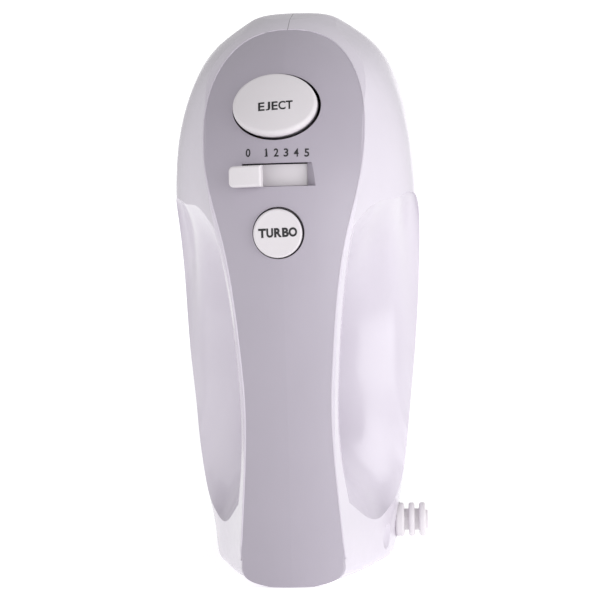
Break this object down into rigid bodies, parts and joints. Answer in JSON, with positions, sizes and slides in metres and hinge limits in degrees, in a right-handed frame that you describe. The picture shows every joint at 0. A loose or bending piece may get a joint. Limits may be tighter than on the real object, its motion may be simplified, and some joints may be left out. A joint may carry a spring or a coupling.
{
  "type": "hand mixer",
  "caption": "Electric hand mixer with a grip over an open hand hole, oval eject key, sliding speed lever, round key, side cord sleeve and two wire beaters.",
  "frame": {"origin": "centre of the flat heel face the mixer stands on", "axes": "+Z from the heel to the nose, -Y is the controls' side, +Y is the beaters' side, +X is the side with the cord sleeve"},
  "size_m": [0.0888, 0.2619, 0.2002],
  "materials": {
    "white_shell": "gloss",
    "grey_cover": "satin",
    "white_keys": "satin",
    "white_relief": "satin",
    "nylon": "satin",
    "zinc_screw": "satin",
    "steel_part": "satin",
    "lamination": "satin",
    "copper_wire": "satin",
    "brass_part": "satin",
    "carbon": "matte",
    "fan_plastic": "satin",
    "gear_plastic": "satin",
    "chrome_wire": "polished",
    "board": "satin",
    "dark_plastic": "satin",
    "lead_skin": "satin",
    "dome_rubber": "matte"
  },
  "bodies": {
    "mixer_body": {"housing_right": "white_shell", "housing_left": "white_shell", "top_cover": "grey_cover", "housing_screws": "zinc_screw", "locating_dowels": "steel_part", "strain_relief": "white_relief", "cord_clamp": "nylon", "stator_core": "lamination", "field_coils": "copper_wire", "motor_rear_bracket": "steel_part", "motor_front_bracket": "steel_part", "rear_bearing": "brass_part", "front_bearing": "brass_part", "brush_holders": "brass_part", "carbon_brushes": "carbon", "brush_springs": "steel_part", "gearbox_frame": "nylon", "gearbox_bracket": "steel_part", "nose_bearing": "brass_part", "gearbox_screws": "zinc_screw", "spindle_bushings": "brass_part", "beater_ports": "nylon", "eject_guide": "nylon", "turbo_switch": "dark_plastic", "turbo_dome": "dome_rubber", "eject_spring": "steel_part", "speed_switch": "dark_plastic", "switch_contacts": "brass_part", "circuit_board": "board", "capacitor": "dark_plastic", "inductor": "copper_wire", "triac": "dark_plastic", "wiring": "lead_skin"},
    "eject_key": {"eject_button": "white_keys", "ejector_yoke": "nylon"},
    "turbo_key": {"turbo_button": "white_keys"},
    "speed_lever": {"speed_drum": "white_keys", "speed_knob": "white_keys"},
    "armature": {"armature_core": "lamination", "armature_shaft": "steel_part", "armature_windings": "copper_wire", "commutator": "brass_part", "cooling_fan": "fan_plastic", "worm": "steel_part"},
    "right_spindle": {"gear_right": "gear_plastic", "spindle_right": "steel_part", "spindle_clips_right": "steel_part"},
    "left_spindle": {"gear_left": "gear_plastic", "spindle_left": "steel_part", "spindle_clips_left": "steel_part"},
    "right_beater": {"beater_shaft_right": "chrome_wire", "beater_collar_right": "gear_plastic", "beater_hub_right": "chrome_wire", "beater_blades_right": "chrome_wire"},
    "left_beater": {"beater_shaft_left": "chrome_wire", "beater_collar_left": "gear_plastic", "beater_hub_left": "chrome_wire", "beater_blades_left": "chrome_wire"}
  },
  "joints": [
    {"name": "eject_press", "type": "slide", "parent": "mixer_body", "child": "eject_key", "axis": [0, 1, 0], "range_m": [0, 0.004], "stiffness_N_per_m": 900, "springref_m": -0.004, "deforming": ["eject_spring"]},
    {"name": "turbo_press", "type": "slide", "parent": "mixer_body", "child": "turbo_key", "axis": [0, 1, 0], "range_m": [0, 0.002], "stiffness_N_per_m": 700, "springref_m": -0.002, "deforming": ["turbo_dome"]},
    {"name": "speed_select", "type": "hinge", "parent": "mixer_body", "child": "speed_lever", "pos_m": [0, -0.026, 0.1345], "axis": [0, 0, 1], "range_deg": [0, 24.4]},
    {"name": "motor_spin", "type": "hinge", "parent": "mixer_body", "child": "armature", "pos_m": [0, 0.029, 0.1], "axis": [0, 0, 1], "continuous": true},
    {"name": "right_spindle_spin", "type": "hinge", "parent": "mixer_body", "child": "right_spindle", "pos_m": [0.02, 0.029, 0.157], "axis": [0, 1, 0], "continuous": true},
    {"name": "left_spindle_spin", "type": "hinge", "parent": "mixer_body", "child": "left_spindle", "pos_m": [-0.02, 0.029, 0.157], "axis": [0, 1, 0], "continuous": true},
    {"name": "right_beater_eject", "type": "slide", "parent": "right_spindle", "child": "right_beater", "axis": [0, 1, 0], "range_m": [0, 0.004]},
    {"name": "left_beater_eject", "type": "slide", "parent": "left_spindle", "child": "left_beater", "axis": [0, 1, 0], "range_m": [0, 0.004]}
  ],
  "couplings": [
    {"joint": "right_spindle_spin", "follows": "motor_spin", "ratio": -0.0625},
    {"joint": "left_spindle_spin", "follows": "motor_spin", "ratio": 0.0625},
    {"joint": "right_beater_eject", "follows": "eject_press", "ratio": 1},
    {"joint": "left_beater_eject", "follows": "eject_press", "ratio": 1}
  ]
}
